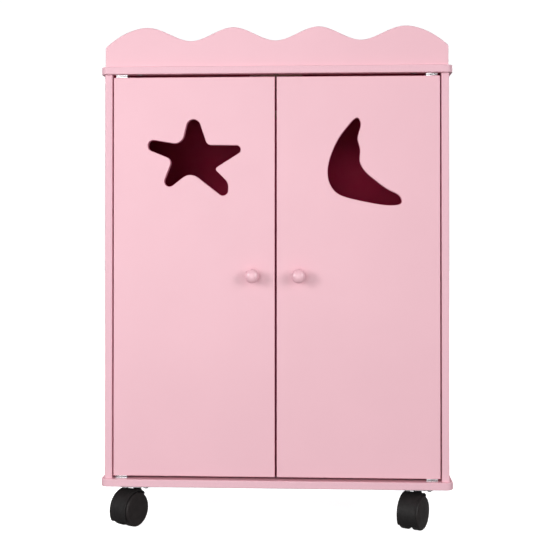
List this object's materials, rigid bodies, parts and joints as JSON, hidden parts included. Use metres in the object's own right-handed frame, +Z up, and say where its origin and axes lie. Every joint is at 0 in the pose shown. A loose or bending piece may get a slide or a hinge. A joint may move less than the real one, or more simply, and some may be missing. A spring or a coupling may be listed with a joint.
{
  "type": "doll wardrobe",
  "caption": "Doll's wardrobe in pale pink paint: wavy crest board, inset doors with a star and a crescent moon cut-out, round knobs, hanging rail, on swivel casters.",
  "frame": {"origin": "on the floor, at the middle of the overall width and depth", "axes": "+Z up, front with the doors faces -Y, +X to the right seen from the front"},
  "size_m": [0.373, 0.229, 0.531],
  "materials": {
    "pink_paint": "pale pink satin paint on MDF",
    "knob_paint": "pale pink gloss paint on turned wood",
    "hardboard": "smooth brown hardboard",
    "rail_wood": "plain beech dowel",
    "white_plastic": "satin",
    "brown_plastic": "satin",
    "magnet_black": "matt ferrite",
    "wheel_black": "satin moulded",
    "hood_black": "satin moulded",
    "zinc_plate": "bright zinc plate",
    "fastener_steel": "zinc-plated screws"
  },
  "bodies": {
    "cabinet": {"back_panel": "hardboard", "back_panel_nails": "fastener_steel", "base_board": "pink_paint", "base_board_screws": "fastener_steel", "caster_plate_screws": "fastener_steel", "caster_swivel_pins": "fastener_steel", "catch_magnets": "magnet_black", "crest_board": "pink_paint", "crest_board_screws": "fastener_steel", "fitting_screws": "fastener_steel", "fixed_leaf_screws": "fastener_steel", "front_left_caster_plate": "zinc_plate", "front_right_caster_plate": "zinc_plate", "hanging_rail": "rail_wood", "left_lower_fixed_leaf": "zinc_plate", "left_rail_socket": "white_plastic", "left_side_panel": "pink_paint", "left_upper_fixed_leaf": "zinc_plate", "magnetic_catch": "brown_plastic", "rear_left_caster_plate": "zinc_plate", "rear_right_caster_plate": "zinc_plate", "right_lower_fixed_leaf": "zinc_plate", "right_rail_socket": "white_plastic", "right_side_panel": "pink_paint", "right_upper_fixed_leaf": "zinc_plate", "top_board": "pink_paint", "top_board_screws": "fastener_steel"},
    "left_door": {"left_door": "pink_paint", "left_door_screws": "fastener_steel", "left_hinge_pins": "zinc_plate", "left_knob": "knob_paint", "left_knob_screw": "fastener_steel", "left_lower_door_leaf": "zinc_plate", "left_strike": "zinc_plate", "left_upper_door_leaf": "zinc_plate"},
    "right_door": {"right_door": "pink_paint", "right_door_screws": "fastener_steel", "right_hinge_pins": "zinc_plate", "right_knob": "knob_paint", "right_knob_screw": "fastener_steel", "right_lower_door_leaf": "zinc_plate", "right_strike": "zinc_plate", "right_upper_door_leaf": "zinc_plate"},
    "front_left_swivel": {"front_left_caster_axle": "fastener_steel", "front_left_caster_hood": "hood_black"},
    "front_left_left_roller": {"front_left_caster_left_wheel": "wheel_black"},
    "front_left_right_roller": {"front_left_caster_right_wheel": "wheel_black"},
    "front_right_swivel": {"front_right_caster_axle": "fastener_steel", "front_right_caster_hood": "hood_black"},
    "front_right_left_roller": {"front_right_caster_left_wheel": "wheel_black"},
    "front_right_right_roller": {"front_right_caster_right_wheel": "wheel_black"},
    "rear_left_swivel": {"rear_left_caster_axle": "fastener_steel", "rear_left_caster_hood": "hood_black"},
    "rear_left_left_roller": {"rear_left_caster_left_wheel": "wheel_black"},
    "rear_left_right_roller": {"rear_left_caster_right_wheel": "wheel_black"},
    "rear_right_swivel": {"rear_right_caster_axle": "fastener_steel", "rear_right_caster_hood": "hood_black"},
    "rear_right_left_roller": {"rear_right_caster_left_wheel": "wheel_black"},
    "rear_right_right_roller": {"rear_right_caster_right_wheel": "wheel_black"}
  },
  "joints": [
    {"name": "left_door_hinge", "type": "hinge", "parent": "cabinet", "child": "left_door", "pos_m": [-0.1672, -0.0935, 0.266], "axis": [0, 0, -1], "range_deg": [0, 110]},
    {"name": "right_door_hinge", "type": "hinge", "parent": "cabinet", "child": "right_door", "pos_m": [0.1672, -0.0935, 0.266], "axis": [0, 0, 1], "range_deg": [0, 110]},
    {"name": "front_left_caster_swivel", "type": "hinge", "parent": "cabinet", "child": "front_left_swivel", "pos_m": [-0.1505, -0.0805, 0.0385], "axis": [0, 0, 1], "continuous": true},
    {"name": "front_left_left_wheel_roll", "type": "hinge", "parent": "front_left_swivel", "child": "front_left_left_roller", "pos_m": [-0.16291, -0.08719, 0.018], "axis": [0.866, -0.5, 0], "continuous": true},
    {"name": "front_left_right_wheel_roll", "type": "hinge", "parent": "front_left_swivel", "child": "front_left_right_roller", "pos_m": [-0.15009, -0.09459, 0.018], "axis": [0.866, -0.5, 0], "continuous": true},
    {"name": "front_right_caster_swivel", "type": "hinge", "parent": "cabinet", "child": "front_right_swivel", "pos_m": [0.1505, -0.0805, 0.0385], "axis": [0, 0, 1], "continuous": true},
    {"name": "front_right_left_wheel_roll", "type": "hinge", "parent": "front_right_swivel", "child": "front_right_left_roller", "pos_m": [0.13846, -0.08783, 0.018], "axis": [0.891, -0.454, 0], "continuous": true},
    {"name": "front_right_right_wheel_roll", "type": "hinge", "parent": "front_right_swivel", "child": "front_right_right_roller", "pos_m": [0.15165, -0.09455, 0.018], "axis": [0.891, -0.454, 0], "continuous": true},
    {"name": "rear_left_caster_swivel", "type": "hinge", "parent": "cabinet", "child": "rear_left_swivel", "pos_m": [-0.1505, 0.0935, 0.0385], "axis": [0, 0, 1], "continuous": true},
    {"name": "rear_left_left_wheel_roll", "type": "hinge", "parent": "rear_left_swivel", "child": "rear_left_left_roller", "pos_m": [-0.16313, 0.08724, 0.018], "axis": [0.848, -0.5299, 0], "continuous": true},
    {"name": "rear_left_right_wheel_roll", "type": "hinge", "parent": "rear_left_swivel", "child": "rear_left_right_roller", "pos_m": [-0.15058, 0.0794, 0.018], "axis": [0.848, -0.5299, 0], "continuous": true},
    {"name": "rear_right_caster_swivel", "type": "hinge", "parent": "cabinet", "child": "rear_right_swivel", "pos_m": [0.1505, 0.0935, 0.0385], "axis": [0, 0, 1], "continuous": true},
    {"name": "rear_right_left_wheel_roll", "type": "hinge", "parent": "rear_right_swivel", "child": "rear_right_left_roller", "pos_m": [0.13809, 0.08681, 0.018], "axis": [0.866, -0.5, 0], "continuous": true},
    {"name": "rear_right_right_wheel_roll", "type": "hinge", "parent": "rear_right_swivel", "child": "rear_right_right_roller", "pos_m": [0.15091, 0.07941, 0.018], "axis": [0.866, -0.5, 0], "continuous": true}
  ]
}
